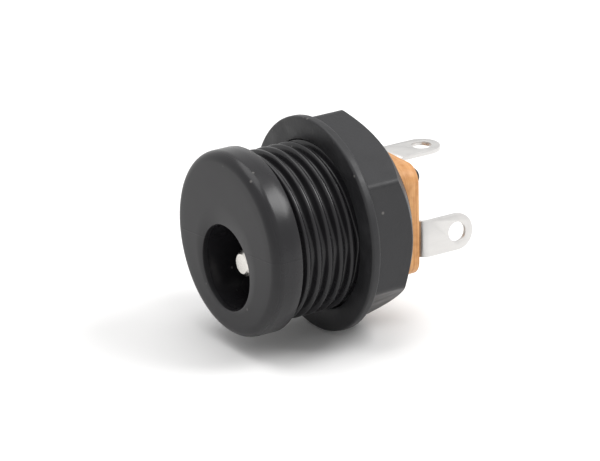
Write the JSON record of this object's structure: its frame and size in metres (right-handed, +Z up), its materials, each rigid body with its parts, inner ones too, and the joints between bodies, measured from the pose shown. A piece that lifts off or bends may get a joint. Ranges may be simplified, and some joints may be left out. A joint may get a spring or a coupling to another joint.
{
  "type": "dc barrel jack, panel mount",
  "caption": "Black panel-mount DC barrel jack with a threaded barrel, flanged hex nut, tan terminal plate and solder tags.",
  "frame": {"origin": "on the barrel's axis, in the plane of the flange's rear face, which is the panel seat", "axes": "+Y along the barrel to the rear, away from the plug; +Z up, from the plug hole towards the top solder tag; +X to the right seen from the front"},
  "size_m": [0.0164, 0.0187, 0.0162],
  "materials": {
    "housing_plastic": "satin",
    "nut_plastic": "matte",
    "tan_laminate": "matte",
    "nickel_pin": "polished",
    "tinned_strip": "satin"
  },
  "bodies": {
    "jack": {"housing": "housing_plastic", "terminal_plate": "tan_laminate", "centre_pin": "nickel_pin", "pin_tag": "tinned_strip", "sleeve_spring": "tinned_strip", "switch_contact": "tinned_strip"},
    "nut": {"hex_nut": "nut_plastic"}
  },
  "joints": [
    {"name": "nut_travel", "type": "slide", "parent": "jack", "child": "nut", "axis": [0, 1, 0], "range_m": [-0.00515, 0.0041]}
  ]
}
